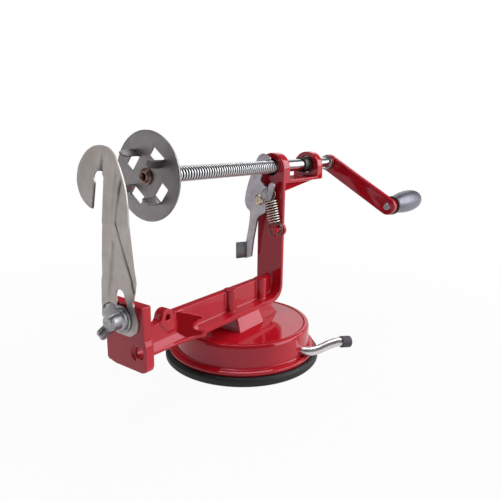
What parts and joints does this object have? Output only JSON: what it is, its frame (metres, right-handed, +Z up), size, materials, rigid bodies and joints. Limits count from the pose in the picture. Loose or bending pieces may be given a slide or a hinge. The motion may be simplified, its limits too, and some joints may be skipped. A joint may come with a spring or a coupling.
{
  "type": "tornado potato cutter",
  "caption": "Hand-cranked spiral potato cutter: suction-foot base, cast frame, threaded feed screw with pronged disc, slotted slicing blade, spring latch, lever and crank.",
  "frame": {"origin": "centre of the suction foot's underside, where it rests", "axes": "+X along the feed screw from the slicing blade towards the crank, +Z up"},
  "size_m": [0.3421, 0.1449, 0.1707],
  "materials": {
    "red_enamel": "gloss",
    "blade_steel": "brushed",
    "screw_chrome": "polished",
    "zinc_steel": "satin",
    "latch_steel": "satin",
    "hub_brass": "satin",
    "foot_rubber": "matte",
    "bush_nylon": "satin",
    "knob_plastic": "gloss"
  },
  "bodies": {
    "frame": {"frame_casting": "red_enamel", "base_housing": "red_enamel", "frame_screws": "zinc_steel", "suction_cup": "foot_rubber", "rear_bush": "bush_nylon", "latch_pivot_screw": "hub_brass", "latch_spring": "zinc_steel", "clamp_bolt": "zinc_steel"},
    "blade": {"slicing_blade": "blade_steel"},
    "clamp": {"clamp_washer": "zinc_steel"},
    "wing": {"wing_nut": "zinc_steel"},
    "latch": {"latch_lever": "latch_steel"},
    "lever": {"suction_lever": "screw_chrome", "lever_cap": "foot_rubber", "lever_clip": "zinc_steel"},
    "stem": {"suction_stem": "zinc_steel"},
    "feed": {"thrust_washer": "zinc_steel"},
    "screw": {"feed_screw": "screw_chrome", "fork_disc": "blade_steel", "fork_hub": "hub_brass", "crank_arm": "red_enamel", "crank_screw": "zinc_steel", "handle_pin": "zinc_steel", "handle_ferrule": "bush_nylon"},
    "handle": {"knob": "knob_plastic"}
  },
  "joints": [
    {"name": "feed_slide", "type": "slide", "parent": "frame", "child": "feed", "axis": [1, 0, 0], "range_m": [-0.0125, 0.105]},
    {"name": "crank_turn", "type": "hinge", "parent": "feed", "child": "screw", "pos_m": [0, 0, 0.144], "axis": [1, 0, 0], "range_deg": [-1800, 15120]},
    {"name": "knob_spin", "type": "hinge", "parent": "screw", "child": "handle", "pos_m": [0.155, -0.06049, 0.1078], "axis": [1, 0, 0], "continuous": true},
    {"name": "latch_swing", "type": "hinge", "parent": "frame", "child": "latch", "pos_m": [0.031, 0.0065, 0.118], "axis": [-1, 0, 0], "range_deg": [0, 13], "stiffness_Nm_per_rad": 0.09, "springref_deg": -28.65, "deforming": ["latch_spring"]},
    {"name": "blade_height", "type": "slide", "parent": "frame", "child": "blade", "axis": [0, 0, 1], "range_m": [-0.012, 0.002]},
    {"name": "clamp_shift", "type": "slide", "parent": "frame", "child": "clamp", "axis": [-1, 0, 0], "range_m": [0, 0.002]},
    {"name": "wing_turn", "type": "hinge", "parent": "clamp", "child": "wing", "pos_m": [-0.12, -0.0008, 0.0605], "axis": [-1, 0, 0], "range_deg": [0, 720]},
    {"name": "lever_throw", "type": "hinge", "parent": "frame", "child": "lever", "pos_m": [0.004, 0, 0.0139], "axis": [0, -1, 0], "range_deg": [0, 90]},
    {"name": "stem_lift", "type": "slide", "parent": "frame", "child": "stem", "axis": [0, 0, 1], "range_m": [0, 0.00184]}
  ],
  "couplings": [
    {"joint": "feed_slide", "follows": "crank_turn", "m_per_rad": 0.00039789},
    {"joint": "wing_turn", "follows": "clamp_shift", "rad_per_m": 6283.2},
    {"joint": "lever_throw", "follows": "stem_lift", "rad_per_m": 854.7}
  ]
}
